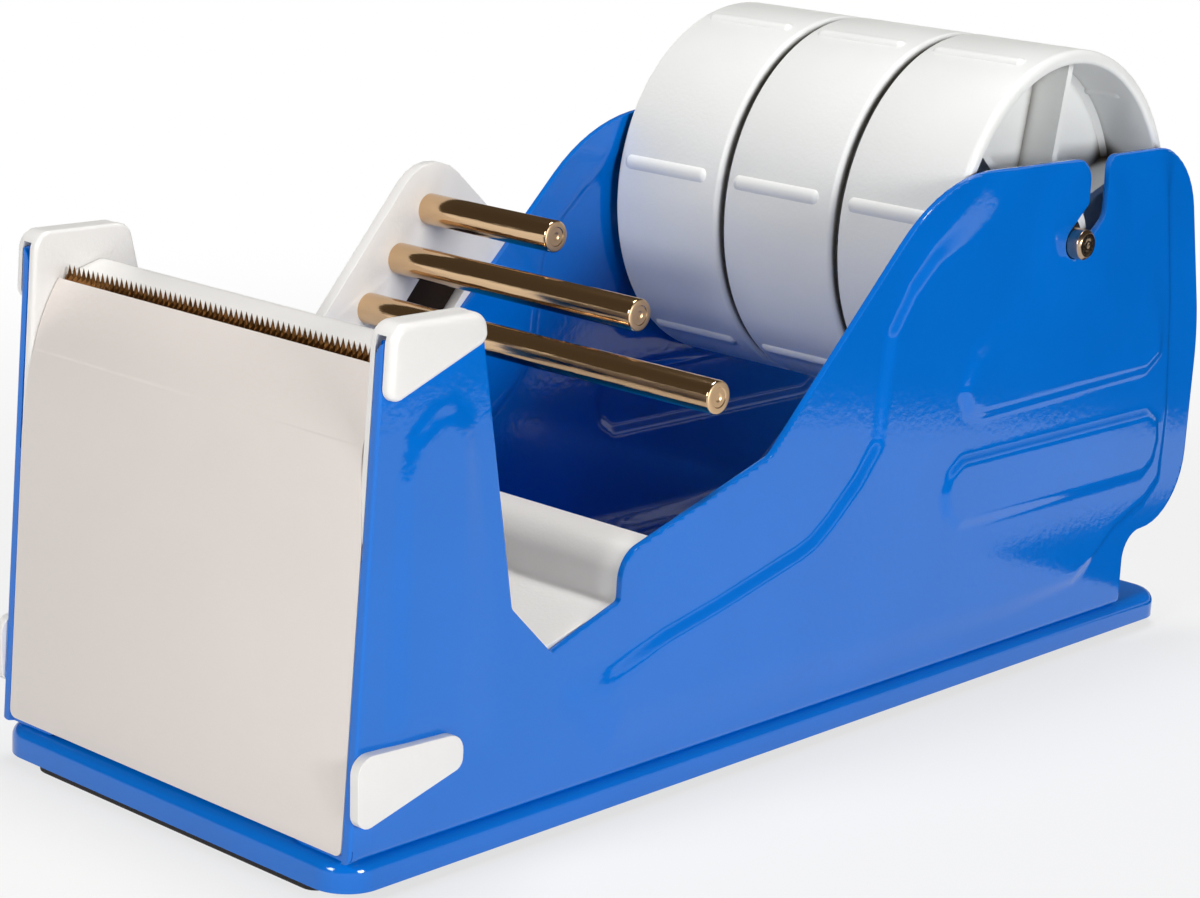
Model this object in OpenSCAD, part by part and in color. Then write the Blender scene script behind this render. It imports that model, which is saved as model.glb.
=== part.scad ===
// Multi-roll tape dispenser: three equal roll cores on one lift-out axle between two
// pressed side panels, a toothed cutter at the front and stepped guide rods at the left.
// X is the width, -Y is the cutter end, Z is up and 0 is the underside of the rubber pad.

/* [Rolls] */
// width of one roll core
core_w = 28.4; // [18:0.2:40]
// gap between neighbouring cores
core_gap = 0.85; // [0.6:0.05:2]
// outside radius of a core, without its grip ribs
core_r = 38.1; // [30:0.1:45]
// wall of the core's rim
core_wall = 2.8; // [2:0.1:4]
// radius of the core's hub
hub_r = 8; // [6:0.5:12]
// length of a grip rib
grip_l = 22.6; // [12:0.2:26]
// radius of a grip rib
grip_r = 1.9; // [1:0.1:2.5]
// how far the grip ribs stand out
grip_out = 0.7; // [0.4:0.1:1.2]
// turn of the cores as they stand at rest
core_turn = 19.8; // [0:0.1:60]
// spokes set back from the ends of the core
spoke_back = 5.7; // [1:0.1:10]
// thickness of a core's spokes and of its web
spoke_t = 1.6; // [1:0.1:3]
// rim set back from the left end of the core
rim_back = 0.9; // [0:0.1:2]
// rounding of the core's right rim
lip_r = 1.6; // [0.5:0.1:2.5]
// clearance between an outer core and the panel
side_play = 1.35; // [1:0.05:3]

/* [Axle] */
// axle diameter
axle_d = 6.2; // [5:0.1:8]
// axle length sticking out beyond each panel
axle_out = 4.4; // [2:0.1:8]
// running clearance of the cores on the axle
run = 0.05; // [0.01:0.01:0.1]
// clearance of the axle in its slots
slot_play = 0.2; // [0.1:0.05:0.5]
// axle height above the surface it stands on
axle_z = 89.1; // [75:0.1:110]
// distance from the rear of the panels to the axle
axle_rear = 52.7; // [45:0.1:70]
// length of the slanted part of the axle slot
slot_run = 9.4; // [6:0.1:14]
// slope of the slanted part of the axle slot
slot_tilt = 40; // [20:1:60]
// rounding at the front of the slot's mouth
mouth_front_r = 5; // [1:0.1:7]
// rounding at the rear of the slot's mouth
mouth_rear_r = 2.8; // [1:0.1:5]

/* [Base] */
// overall length, cutter end to rear of the panels
total_l = 245; // [230:1:280]
// length of the base pan
base_l = 242; // [225:1:280]
// height of the base pan
base_h = 5.3; // [4:0.1:8]
// plan radius of the base corners
base_r = 7; // [4:0.5:12]
// rounding of the base pan's top edge
edge_r = 2.4; // [1:0.1:3]
// thickness of the rubber pad
pad_h = 2; // [1:0.1:4]
// pad set back from the sides of the base
pad_inset = 8.5; // [4:0.5:15]
// pad set back from the ends of the base
pad_end = 1.7; // [1:0.1:15]
// base standing out past each panel
base_lip = 0.3; // [0.2:0.1:2]

/* [Side panels] */
// sheet thickness of the panels
sheet = 1.2; // [0.8:0.1:2]
// height of the pressed field above the flat sheet
raise = 1; // [0.6:0.1:1.5]
// height of the pressed ribs above the field
rib_raise = 0.7; // [0.4:0.1:1.2]
// height of the boss round the axle slot above the field
boss_raise = 0.3; // [0.2:0.1:1]
// top of the front posts
post_top = 92.2; // [80:0.1:110]
// depth of the front posts at their top
post_w = 22.3; // [16:0.1:30]
// backward lean of the front posts
lean = 2.264; // [0:0.1:5]
// top edge of the rear of the panels
panel_top = 105.9; // [95:0.1:125]
// lowest point of the notch behind the posts
notch_z = 33.6; // [28:0.1:45]
// width of the inward front flange
flange_w = 16; // [10:0.5:22]
// width of the inward foot flange
foot_w = 14; // [10:0.5:20]
// foot flange set back from the cutter end
foot_gap = 14; // [10:0.5:30]
// distance from the cutter end to the lowest point of the notch
notch_y = 46; // [40:0.5:60]
// length of the notch's sloping floor
notch_l = 16.8; // [12:0.1:24]
// rise of the notch's sloping floor
notch_rise = 5.7; // [3:0.1:9]
// height of the notch's rear wall
notch_wall = 7.9; // [7:0.1:12]

/* [Cutter] */
// sheet thickness of the front cover
cover_t = 1.2; // [0.8:0.1:2]
// height where the cover starts to curl back
curl_z = 68; // [55:0.5:75]
// radius of the cover's curled top
curl_r = 33.6; // [20:0.2:60]
// angle of the cover's curled top
curl_a = 34.4; // [20:0.2:50]
// blade thickness
blade_t = 0.6; // [0.4:0.05:1]
// number of blade teeth
teeth = 64; // [30:1:90]
// height of a blade tooth
tooth_h = 1.7; // [0.8:0.1:2.5]

/* [Guards] */
// thickness of the guards' outer walls
guard_t = 1.9; // [1.2:0.1:3]
// thickness of the guards' inner walls
guard_in = 2; // [1.2:0.1:3]

/* [Tray] */
// wall of the tray
tray_t = 1.8; // [1.2:0.1:3]
// clearance between the tray and the panels
tray_play = 0.3; // [0.1:0.1:1]
// length of the tray in front of the notch's lowest point
tray_l = 24; // [18:0.5:30]
// height of the tray's front wall
tray_lip = 12; // [6:0.5:20]
// distance of the tray's bosses from the middle
tray_x = 20; // [12:0.5:28]
// radius of the tray's bosses
tray_boss_r = 3.6; // [3:0.1:5]
// radius of the tray's screws
tray_screw_r = 1.8; // [1.5:0.1:2.5]

/* [Guide rods] */
// diameter of the guide rods
rod_d = 6.2; // [4:0.1:8]
// distance between neighbouring guide rods
rod_step = 11.9; // [9:0.1:16]
// slope of the row of guide rods
rod_tilt = 49.7; // [35:0.1:65]
// thickness of the rod bracket
bracket_t = 2.5; // [1.5:0.1:3]

/* [Hidden] */
$fn = 64;

blue = [0.0, 0.33, 0.72];
white = [0.92, 0.91, 0.89];
steel = [0.66, 0.65, 0.63];

axle_r = axle_d / 2;
pitch = core_w + core_gap;
stack_x = pitch + core_w / 2;
field_in = stack_x + side_play;
px = field_in + sheet - raise;
pin = px - sheet;
axle_half = px + axle_out;
base_w = 2 * (px + base_lip);
front_y = -total_l / 2;
rear_y = total_l / 2;
base_y = front_y + base_l / 2;
base_top = pad_h + base_h;
axle_y = rear_y - axle_rear;
slot_r = axle_r + slot_play;
post_y = front_y + 0.2;
post_y_top = post_y + (post_top - base_top) * tan(lean);
bend_r = sheet + 0.4;
bend_z = curl_z - 10;
lap_z = bend_z - 1.5;
cover_gap = 0.2;
fold_v = cover_gap + cover_t;
foot_z = base_top + sheet;
foot_y = [front_y + foot_gap, front_y + base_l - 2 * foot_gap];
screw_y = [foot_y[0] + 12, (foot_y[0] + foot_y[1]) / 2, foot_y[1] - 8];
screw_x = pin - foot_w / 2;

// rear group is placed from the axle, front group from the cutter end
function ra(y, z) = [axle_y + y, axle_z + z];
function fr(y, z) = [post_y + y, z];

// fillets each corner [y, z, r] of a closed outline with a short arc
function unit(v) = v / norm(v);
function cross2(a, b) = a[0] * b[1] - a[1] * b[0];
function arc_pts(p, a, b, r, n) =
    let (u = unit(a - p), w = unit(b - p), half = acos(u * w) / 2, d = r / tan(half),
         c = p + unit(u + w) * r / sin(half), s = p + u * d, e = p + w * d,
         a0 = atan2(s[1] - c[1], s[0] - c[0]), a1 = atan2(e[1] - c[1], e[0] - c[0]),
         da = a1 - a0 > 180 ? a1 - a0 - 360 : a1 - a0 < -180 ? a1 - a0 + 360 : a1 - a0)
    [for (i = [0:n]) c + r * [cos(a0 + da * i / n), sin(a0 + da * i / n)]];
function arc(c, r, a0, a1, n) = [for (i = [0:n]) let (a = a0 + (a1 - a0) * i / n) c + r * [cos(a), sin(a)]];
function fillet(v, n = 6) =
    let (k = len(v))
    [for (i = [0:k - 1])
        let (p = [v[i][0], v[i][1]], a = v[(i + k - 1) % k], b = v[(i + 1) % k])
        each (v[i][2] > 0 ? arc_pts(p, [a[0], a[1]], [b[0], b[1]], v[i][2], n) : [p])];

// moves every edge of a clockwise outline inwards by d
function inset(v, d) =
    let (k = len(v))
    [for (i = [0:k - 1])
        let (p = [v[i][0], v[i][1]],
             u = unit(p - [v[(i + k - 1) % k][0], v[(i + k - 1) % k][1]]),
             w = unit([v[(i + 1) % k][0], v[(i + 1) % k][1]] - p),
             turn = cross2(u, w), m = unit([u[1], -u[0]] + [w[1], -w[0]]),
             q = p + m * d / (m * [u[1], -u[0]]))
        [q[0], q[1], max(0.3, v[i][2] + (turn < 0 ? -d : d))]];

// draws a (y, z) outline as a plate that starts at x
module plate(x, t) {
    translate([x, 0, 0])
        rotate([90, 0, 90])
            linear_extrude(t)
                children();
}

module rod_x(x, l, r, y, z) {
    translate([x, y, z])
        rotate([0, 90, 0])
            cylinder(h = l, r = r);
}

module rounded_rect(w, l, r) {
    polygon(fillet([[-w / 2, -l / 2, r], [-w / 2, l / 2, r], [w / 2, l / 2, r], [w / 2, -l / 2, r]], 8));
}

module both_sides() {
    children();
    mirror([1, 0, 0])
        children();
}

// local frame of the leaning front: x, depth behind the front plane, height along it
module lean_frame() {
    translate([0, post_y, base_top])
        rotate([-lean, 0, 0])
            children();
}

// BASE
module base_corner() {
    rotate_extrude($fn = 32)
        union() {
            square([base_r, base_h - edge_r]);
            square([base_r - edge_r, base_h]);
            translate([base_r - edge_r, base_h - edge_r])
                intersection() {
                    circle(edge_r, $fn = 32);
                    square(edge_r);
                }
        }
}

module base_pan() {
    color(blue)
        translate([0, base_y, pad_h])
            difference() {
                hull()
                    for (i = [-1, 1], j = [-1, 1])
                        translate([i * (base_w / 2 - base_r), j * (base_l / 2 - base_r), 0])
                            base_corner();
                translate([0, 0, -1])
                    linear_extrude(base_h - sheet + 1)
                        rounded_rect(base_w - 2 * edge_r, base_l - 2 * edge_r, base_r - edge_r);
                for (i = [-1, 1], y = screw_y)
                    translate([i * screw_x, y - base_y, 0])
                        cylinder(h = base_h + 1, r = 2.1);
                for (i = [-1, 1])
                    translate([i * tray_x, tray_boss_y - base_y, 0])
                        cylinder(h = base_h + 1, r = 2.1);
            }
}

module ballast_plate() {
    color([0.3, 0.3, 0.31])
        difference() {
            translate([0, base_y, pad_h])
                linear_extrude(base_h - sheet)
                    rounded_rect(base_w - 2 * edge_r - 1, base_l - 2 * edge_r - 1, base_r - edge_r);
            for (i = [-1, 1], y = screw_y)
                translate([i * screw_x, y, pad_h - 1])
                    cylinder(h = base_h, r = 2.05);
            for (i = [-1, 1])
                translate([i * tray_x, tray_boss_y, pad_h - 1]) {
                    cylinder(h = base_h, r = 2.1);
                    cylinder(h = 3.4, r = 3.8);
                }
        }
}

module base_pad() {
    color([0.07, 0.06, 0.06])
        translate([0, base_y, 0])
            linear_extrude(pad_h)
                rounded_rect(base_w - 2 * pad_inset, base_l - 2 * pad_end, 3);
}

// SIDE PANELS
panel_pts = let (p2 = fr(post_y_top - post_y + post_w, post_top), v = [front_y + notch_y, notch_z])
    [concat(fr(fold_v + bend_r - 0.3, base_top), 0),
     concat(fr(fold_v + bend_r - 0.3 + (lap_z - base_top) * tan(lean), lap_z), 0),
     concat(fr(fold_v + (lap_z - base_top) * tan(lean), lap_z), 0),
     concat(fr(fold_v + post_y_top - post_y, post_top), 3), concat(p2, 3),
     [v[0] - 10.2, v[1] + 9.7, 2], concat(v, 0.8), [v[0] + notch_l, v[1] + notch_rise, 1],
     [v[0] + notch_l, v[1] + notch_rise + notch_wall, 6], concat(ra(-90.7, -30.1), 4),
     concat(ra(-90.7 + (panel_top - axle_z + 30.1) / 0.987, panel_top - axle_z), 41),
     [rear_y - 9.5, panel_top, 18], [rear_y + 0.16, axle_z - 24.1, 60],
     [rear_y - 0.4, axle_z - 65.9, 15], [rear_y - 21.7, axle_z - 65.9, 6],
     [rear_y - 21.5, base_top, 1.5]];

field_pts = [concat(fr(48, 21.5), 2.5), concat(ra(-79, -48.5), 18), concat(ra(-59.5, -32), 16),
             concat(ra(-58, -11), 14), concat(ra(-41, 6), 12),
             concat(ra(-28, panel_top - axle_z - 5), 16), [rear_y - 15.5, panel_top - 5, 8],
             [rear_y - 10, axle_z - 60.5, 9],
             [rear_y - 35, axle_z - 68.5, 12], [rear_y - 41, 15.4, 6], [axle_y - 100, 15.4, 10]];

upper_rib_pts = [concat(ra(-34.5, -31.5), 5), concat(ra(-31, -21.5), 3), concat(ra(36, -21.5), 3),
                 concat(ra(37, -31.5), 4)];
boss_pts = [concat(ra(-14, -13), 12), [axle_y - 14, panel_top + 3, 0], [axle_y + 19, panel_top + 3, 0],
            concat(ra(19, -13), 14)];
lower_rib_pts = [concat(ra(-32.5, -53), 5), concat(ra(-38, -46.5), 2), concat(ra(-33, -39.5), 4),
                 concat(ra(38, -39.5), 3.5), concat(ra(36.5, -53), 5)];

module outline(v) {
    polygon(fillet(v));
}

// J-shaped way in for the axle: slanted seat, then straight up to a flared mouth
module slot_2d() {
    seat = [axle_y, axle_z];
    dir = [cos(slot_tilt), sin(slot_tilt)];
    side = slot_r * [-dir[1], dir[0]];
    elbow = seat + slot_run * dir;
    left = elbow[0] - slot_r;
    right = elbow[0] + slot_r;
    corner = seat + side + (left - seat[0] - side[0]) / dir[0] * dir;
    top = panel_top;
    translate(seat)
        circle(slot_r);
    polygon(concat([[left - mouth_front_r, top + 1]],
                   arc([left - mouth_front_r, top - mouth_front_r], mouth_front_r, 90, 0, 8),
                   [corner, seat + side, seat - side], arc(elbow, slot_r, slot_tilt - 90, 0, 6),
                   arc([right + mouth_rear_r, top - mouth_rear_r], mouth_rear_r, 180, 90, 6),
                   [[right + mouth_rear_r, top + 1]]));
}

// pressed shapes stand out by h and are hollow behind, one sheet thick all round
module pressed(v, x, h) {
    plate(x, h)
        intersection() {
            outline(v);
            outline(panel_pts);
        }
}

module pressed_hollow(v, x, h) {
    plate(x - sheet - 1, h + 1)
        outline(inset(v, sheet));
}

module front_bend() {
    lean_frame()
        translate([px - 0.02, fold_v, 0.2]) {
            linear_extrude(bend_z - base_top - 0.2)
                translate([-bend_r, bend_r])
                    intersection() {
                        difference() {
                            circle(bend_r, $fn = 32);
                            circle(bend_r - sheet, $fn = 32);
                        }
                        translate([0, -bend_r])
                            square(bend_r);
                    }
            translate([-flange_w, 0, 0])
                cube([flange_w - bend_r + 0.05, sheet, bend_z - base_top - 1]);
        }
}

module right_panel_solid() {
    difference() {
        union() {
            plate(pin, sheet)
                outline(panel_pts);
            pressed(field_pts, px, raise);
            pressed(upper_rib_pts, px + raise, rib_raise);
            pressed(lower_rib_pts, px + raise, rib_raise);
            pressed(boss_pts, px, raise + boss_raise);
            pressed(post_rib_pts, px, raise);
            front_bend();
            translate([pin - foot_w, foot_y[0], base_top])
                cube([foot_w + 0.1, foot_y[1] - foot_y[0], sheet]);
        }
        pressed_hollow(field_pts, px, raise);
        pressed_hollow(upper_rib_pts, px + raise, rib_raise);
        pressed_hollow(lower_rib_pts, px + raise, rib_raise);
        pressed_hollow(boss_pts, px, raise + boss_raise);
        pressed_hollow(post_rib_pts, px, raise);
        plate(pin - 1, 6)
            slot_2d();
        for (y = screw_y)
            translate([screw_x, y, base_top - 1])
                cylinder(h = 4, r = 2.1);
        for (p = guard_pegs)
            rod_x(pin - 1, 4, 1.55, p[0], p[1]);
        lean_frame()
            for (h = cover_stud_h)
                translate([cover_stud_x, 0, h])
                    rotate([-90, 0, 0])
                        cylinder(h = 4, r = 1.6);
    }
}

module right_side_panel() {
    color(blue)
        right_panel_solid();
}

module left_side_panel() {
    color(blue)
        difference() {
            mirror([1, 0, 0])
                right_panel_solid();
            for (p = rivet_pts)
                rod_x(-px - 1, 4, 1.5, p[0], p[1]);
            for (p = rivet_pts)
                translate([-pin - 0.6, p[0], p[1]])
                    rotate([0, 90, 0])
                        cylinder(h = 0.6, r1 = 1.5, r2 = 2.1);
        }
}

// one pan head screw standing on the foot flange, thread down into the ballast
module panel_screws() {
    color(steel)
        for (i = [-1, 1], y = screw_y)
            translate([i * screw_x, y, 0]) {
                translate([0, 0, foot_z])
                    difference() {
                        cylinder(h = 2.4, r = 3.6);
                        translate([0, 0, 1])
                            cylinder(h = 2, r = 1.2, $fn = 6);
                    }
                translate([0, 0, pad_h + 0.2])
                    cylinder(h = foot_z - pad_h - 0.1, r = 2);
            }
}

// CUTTER END
cover_x = px - 2.4;
cover_top_x = pin - 0.2 - guard_in - 0.2;
cover_bottom = base_top + 1;
guard_top = post_top + 2.8;
guard_low = bend_z + 1;
cover_stud_x = px - 10.2;
cover_stud_h = [14, bend_z - base_top - 8];
curl_s = [post_y + cover_gap + (curl_z - base_top) * tan(lean), curl_z];
curl_c = curl_s + curl_r * [cos(lean), -sin(lean)];
curl_in = curl_c - (curl_r - cover_t) * [cos(lean + curl_a), -sin(lean + curl_a)];
curl_out = curl_c - curl_r * [cos(lean + curl_a), -sin(lean + curl_a)];
blade_y = curl_in[0] + 0.15;
blade_top = curl_out[1] + 2.3;
blade_low = blade_top - 13;
clamp_h = 5.4;
clamp_t = 2;
clamp_z = blade_low + 0.3;
clamp_half = cover_top_x - 3.4;
blade_screw_x = [8 - clamp_half, 0, clamp_half - 8];
platen_y = blade_y + blade_t;
platen_wall = 2.4;
ridge = [platen_y + 7.6, blade_top + 0.3];
post_rib_pts = [concat(fr(10.5, 38), 2), concat(fr(10, blade_top - 9), 5), concat(fr(22.5, blade_top - 5), 4),
                concat(fr(26.5, 46), 3)];

// straight leaning sheet that runs on into the curled top
module cover_profile() {
    foot = [post_y + cover_gap, base_top];
    steps = 24;
    turns = [for (i = [0 : steps]) lean + curl_a * i / steps];
    polygon(concat([foot], [for (a = turns) curl_c + curl_r * [-cos(a), sin(a)]],
                   [for (i = [steps : -1 : 0]) curl_c + (curl_r - cover_t) * [-cos(turns[i]), sin(turns[i])]],
                   [foot + [cover_t, 0]]));
}

module front_cover() {
    color([0.85, 0.82, 0.79]) {
        intersection() {
            plate(-cover_x, 2 * cover_x)
                cover_profile();
            translate([0, front_y + 40, 0])
                rotate([90, 0, 0])
                    linear_extrude(45)
                        polygon(concat(arc_pts([-cover_x, cover_bottom], [cover_x, cover_bottom],
                                               [-cover_x, bend_z], 1.5, 6),
                                       [[-cover_x, bend_z], [-cover_top_x, curl_z - 2],
                                        [-cover_top_x, 2 * curl_z], [cover_top_x, 2 * curl_z],
                                        [cover_top_x, curl_z - 2], [cover_x, bend_z]],
                                       arc_pts([cover_x, cover_bottom], [cover_x, bend_z],
                                               [-cover_x, cover_bottom], 1.5, 6)));
        }
        lean_frame()
            for (i = [-1, 1], h = cover_stud_h)
                translate([i * cover_stud_x, cover_gap + cover_t - 0.1, h])
                    rotate([-90, 0, 0])
                        cylinder(h = 5.6, r = 1.5);
    }
}

module hex_nut(h, r, bore) {
    difference() {
        cylinder(h = h, r = r, $fn = 6);
        translate([0, 0, -1])
            cylinder(h = h + 2, r = bore);
    }
}

module cover_nuts() {
    color(steel)
        lean_frame()
            for (i = [-1, 1], h = cover_stud_h)
                translate([i * cover_stud_x, fold_v + sheet, h])
                    rotate([-90, 0, 0])
                        hex_nut(2.4, 3.1, 1.52);
}

module cutter_blade() {
    half = cover_top_x - 0.3;
    step = 2 * half / teeth;
    color([0.72, 0.58, 0.36])
        difference() {
            translate([0, blade_y + blade_t, 0])
                rotate([90, 0, 0])
                    linear_extrude(blade_t)
                        polygon(concat([[half, blade_low], [-half, blade_low]],
                                       [for (i = [0:teeth - 1]) each [[-half + i * step, blade_top - tooth_h],
                                                                     [-half + (i + 0.5) * step, blade_top]]],
                                       [[half, blade_top - tooth_h]]));
            for (x = blade_screw_x)
                translate([x, blade_y - 1, clamp_z + clamp_h / 2])
                    rotate([-90, 0, 0])
                        cylinder(h = 4, r = 1.6);
        }
}

module blade_clamp_bar() {
    color(steel)
        difference() {
            translate([-clamp_half, blade_y - clamp_t, clamp_z])
                cube([2 * clamp_half, clamp_t, clamp_h]);
            for (x = blade_screw_x)
                translate([x, blade_y - 3, clamp_z + clamp_h / 2])
                    rotate([-90, 0, 0])
                        cylinder(h = 4, r = 1.52);
        }
}

module blade_screws() {
    color(steel)
        for (x = blade_screw_x)
            translate([x, 0, clamp_z + clamp_h / 2]) {
                translate([0, blade_y - clamp_t, 0])
                    rotate([-90, 0, 0])
                        cylinder(h = clamp_t + blade_t + platen_wall + 0.1, r = 1.5);
                translate([0, platen_y + platen_wall, 0])
                    rotate([-90, 0, 0])
                        difference() {
                            cylinder(h = 2, r = 2.8);
                            translate([0, 0, 1])
                                cylinder(h = 2, r = 1, $fn = 6);
                        }
            }
}

post_stud_pts = [[platen_y + 6.5, blade_top - 17.5], [platen_y + 6.5, blade_top - 10.5]];

module tape_platen() {
    low = clamp_z - 0.5;
    color(white)
        difference() {
            union() {
                plate(-cover_top_x, 2 * cover_top_x)
                    outline([[platen_y, low, 0.5], [platen_y, blade_top - tooth_h - 0.2, 0.6],
                             [ridge[0], ridge[1], 3], [ridge[0] + 4, ridge[1] - 1.6, 1.5],
                             [ridge[0] + 4, ridge[1] - 8, 0.5], [ridge[0] + 1.8, ridge[1] - 8, 0.5],
                             [ridge[0] + 1.8, ridge[1] - 3.2, 0.8], [ridge[0], ridge[1] - 2.6, 1],
                             [platen_y + platen_wall, blade_top - tooth_h - 2.6, 1],
                             [platen_y + platen_wall, low, 0.5]]);
                both_sides()
                    plate(cover_top_x - 2, 2)
                        outline([[platen_y + 0.5, curl_z, 0.5], [platen_y + 0.5, blade_top - tooth_h - 2, 0.5],
                                 [ridge[0], ridge[1] - 1.5, 1], [ridge[0] + 3, ridge[1] - 4, 1],
                                 [ridge[0] + 3, curl_z, 2]]);
            }
            for (x = blade_screw_x)
                translate([x, platen_y - 1, clamp_z + clamp_h / 2])
                    rotate([-90, 0, 0])
                        cylinder(h = 6, r = 1.6);
            for (p = post_stud_pts)
                rod_x(-50, 100, 1.6, p[0], p[1]);
        }
}

// GUARDS
module right_upper_guard() {
    top_y = post_y_top - post_y;
    inner = [concat(fr((guard_low - base_top) * tan(lean) + fold_v + 0.1, guard_low), 0.6),
             concat(fr(top_y + 1.6, guard_top), 3.4), concat(fr(top_y + post_w - 0.4, guard_top), 3.4),
             concat(fr(top_y + post_w + 4.4, 76), 3), concat(fr(top_y + 4.4, guard_low + 3), 6)];
    outer = [concat(fr(top_y + 0.5, 82.2), 2.2), concat(fr(top_y + 0.6, guard_top), 3.4),
             concat(fr(top_y + post_w - 0.8, guard_top), 3.2), concat(fr(top_y + post_w + 0.1, 90), 2.2)];
    difference() {
        union() {
            plate(pin - 0.2 - guard_in, guard_in)
                outline(inner);
            plate(px + 0.15, guard_t)
                outline(outer);
            intersection() {
                plate(pin - 0.2 - guard_in, guard_in + guard_t + sheet + 0.35)
                    outline(outer);
                translate([pin - 4, front_y - 5, post_top + 0.2])
                    cube([10, 60, 6]);
            }
        }
        for (p = post_stud_pts)
            rod_x(pin - 4, 3.9, 1.6, p[0], p[1]);
    }
}

module upper_right_guard() {
    color(white)
        right_upper_guard();
}

module upper_left_guard() {
    color(white)
        mirror([1, 0, 0])
            right_upper_guard();
}

// studs welded to the posts, so that nothing shows outside
module post_studs() {
    color(steel)
        both_sides()
            for (p = post_stud_pts)
                rod_x(pin - 7.5, 7.5 + raise, 1.5, p[0], p[1]);
}

module post_nuts() {
    color(steel)
        both_sides()
            for (p = post_stud_pts)
                translate([cover_top_x - 4.4, p[0], p[1]])
                    rotate([0, 90, 0])
                        hex_nut(2.4, 3.1, 1.52);
}

guard_pegs = [fr(8.5, 20), fr(17.5, 20.5)];
module right_lower_guard() {
    plate(px, guard_t)
        outline([concat(fr(0.9, 13.1), 2.4), concat(fr(0.4, 26.1), 3), concat(fr(23.8, 25.2), 3.2),
                 concat(fr(23.8, 19.4), 2)]);
    for (p = guard_pegs)
        rod_x(pin - 2.4, 2.4 + sheet + 0.1, 1.5, p[0], p[1]);
}

module lower_right_guard() {
    color(white)
        right_lower_guard();
}

module lower_left_guard() {
    color(white)
        mirror([1, 0, 0])
            right_lower_guard();
}

module guard_push_nuts() {
    color(steel)
        both_sides()
            for (p = guard_pegs)
                difference() {
                    rod_x(pin - 0.6, 0.6, 3.4, p[0], p[1]);
                    rod_x(pin - 1, 2, 1.52, p[0], p[1]);
                }
}

// TRAY between the panels, behind the cutter: it follows the notch in the panels
tray_half = pin - tray_play;
tray_boss_y = front_y + notch_y + 4;
module inner_tray() {
    v = [front_y + notch_y, notch_z];
    h = v + [notch_l + tray_play, notch_rise - 0.8];
    slope = (notch_rise - 0.8 - 0.8) / (notch_l + tray_play);
    front = v - [tray_l, tray_l * slope - 0.8];
    top = h + [8.2, notch_wall + 2.7];
    t = tray_t;
    color(white) {
        plate(-tray_half, 2 * tray_half)
            outline([[front[0], front[1] - t, 0], [front[0], front[1] + tray_lip, 0.5],
                     [front[0] + t, front[1] + tray_lip, 0.5], [front[0] + t, front[1] + t * slope, 1.5],
                     [h[0], h[1], 1], [h[0], h[1] + notch_wall + 1.1, 6], [top[0], top[1], 0],
                     [top[0] + 0.5, top[1] - t, 0], [h[0] + t, h[1] + notch_wall - 0.3, 4.2],
                     [h[0] + t, h[1] - t, 1.5]]);
        for (i = [-1, 1])
            difference() {
                translate([i * tray_x, tray_boss_y, base_top])
                    cylinder(h = notch_z - base_top + 0.4, r = tray_boss_r);
                translate([i * tray_x, tray_boss_y, base_top - 1])
                    cylinder(h = 13, r = tray_screw_r + 0.05);
            }
    }
}

module tray_screws() {
    color(steel)
        for (i = [-1, 1])
            translate([i * tray_x, tray_boss_y, 0]) {
                translate([0, 0, pad_h + 0.2])
                    cylinder(h = 2.2, r = 3.5);
                translate([0, 0, pad_h + 2])
                    cylinder(h = base_h + 8.7, r = tray_screw_r);
            }
}

// GUIDE RODS on a bracket outside the left panel
rod_1 = ra(-90.1, 0.7);
along = [-cos(rod_tilt), -sin(rod_tilt)];
across = [sin(rod_tilt), -cos(rod_tilt)];
function br(s, n) = rod_1 + (s - 9.9) * along + (n - 8.8) * across;
rivet_pts = [br(8, 33.5), br(22, 33.5), br(36, 33.5)];
rod_ends = [-px + 34.2, -px + 63, px - 0.9];

module rod_bracket() {
    color(white)
        difference() {
            plate(-px - bracket_t, bracket_t)
                difference() {
                    outline([concat(br(0, 0), 10), concat(br(0, 38), 3),
                             concat(br(46, 38), 3), concat(br(46, 0), 4)]);
                    outline([concat(br(13, 16.2), 0.8), concat(br(13, 28.2), 0.8), concat(br(30, 28.2), 0.8),
                             concat(br(30, 16.2), 0.8)]);
                }
            for (i = [0:2])
                translate([-px - bracket_t, (br(9.9 + i * rod_step, 8.8))[0], (br(9.9 + i * rod_step, 8.8))[1]])
                    rotate([0, 90, 0]) {
                        translate([0, 0, -1])
                            cylinder(h = 6, r = 1.6);
                        cylinder(h = 1.6, r1 = 3.2, r2 = 1.6);
                    }
            for (p = rivet_pts)
                rod_x(-px - 5, 6, 1.5, p[0], p[1]);
        }
}

module bracket_clamp_plate() {
    color([0.06, 0.05, 0.05])
        difference() {
            plate(-px - bracket_t - 1, 1)
                outline([concat(br(4, 13.6), 2), concat(br(4, 37), 2),
                         concat(br(40, 37), 2), concat(br(40, 13.6), 2)]);
            for (p = rivet_pts)
                translate([-px - bracket_t - 1, p[0], p[1]])
                    rotate([0, 90, 0]) {
                        translate([0, 0, -1])
                            cylinder(h = 6, r = 1.54);
                        cylinder(h = 0.84, r1 = 2.54, r2 = 1.54);
                    }
        }
}

// flush at both ends
module bracket_rivets() {
    color(steel)
        for (p = rivet_pts)
            translate([-px - bracket_t - 1, p[0], p[1]])
                rotate([0, 90, 0]) {
                    cylinder(h = 0.8, r1 = 2.5, r2 = 1.5);
                    cylinder(h = bracket_t + 1 + sheet, r = 1.5);
                    translate([0, 0, bracket_t + 0.4 + sheet])
                        cylinder(h = 0.6, r1 = 1.5, r2 = 2.1);
                }
}

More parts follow.
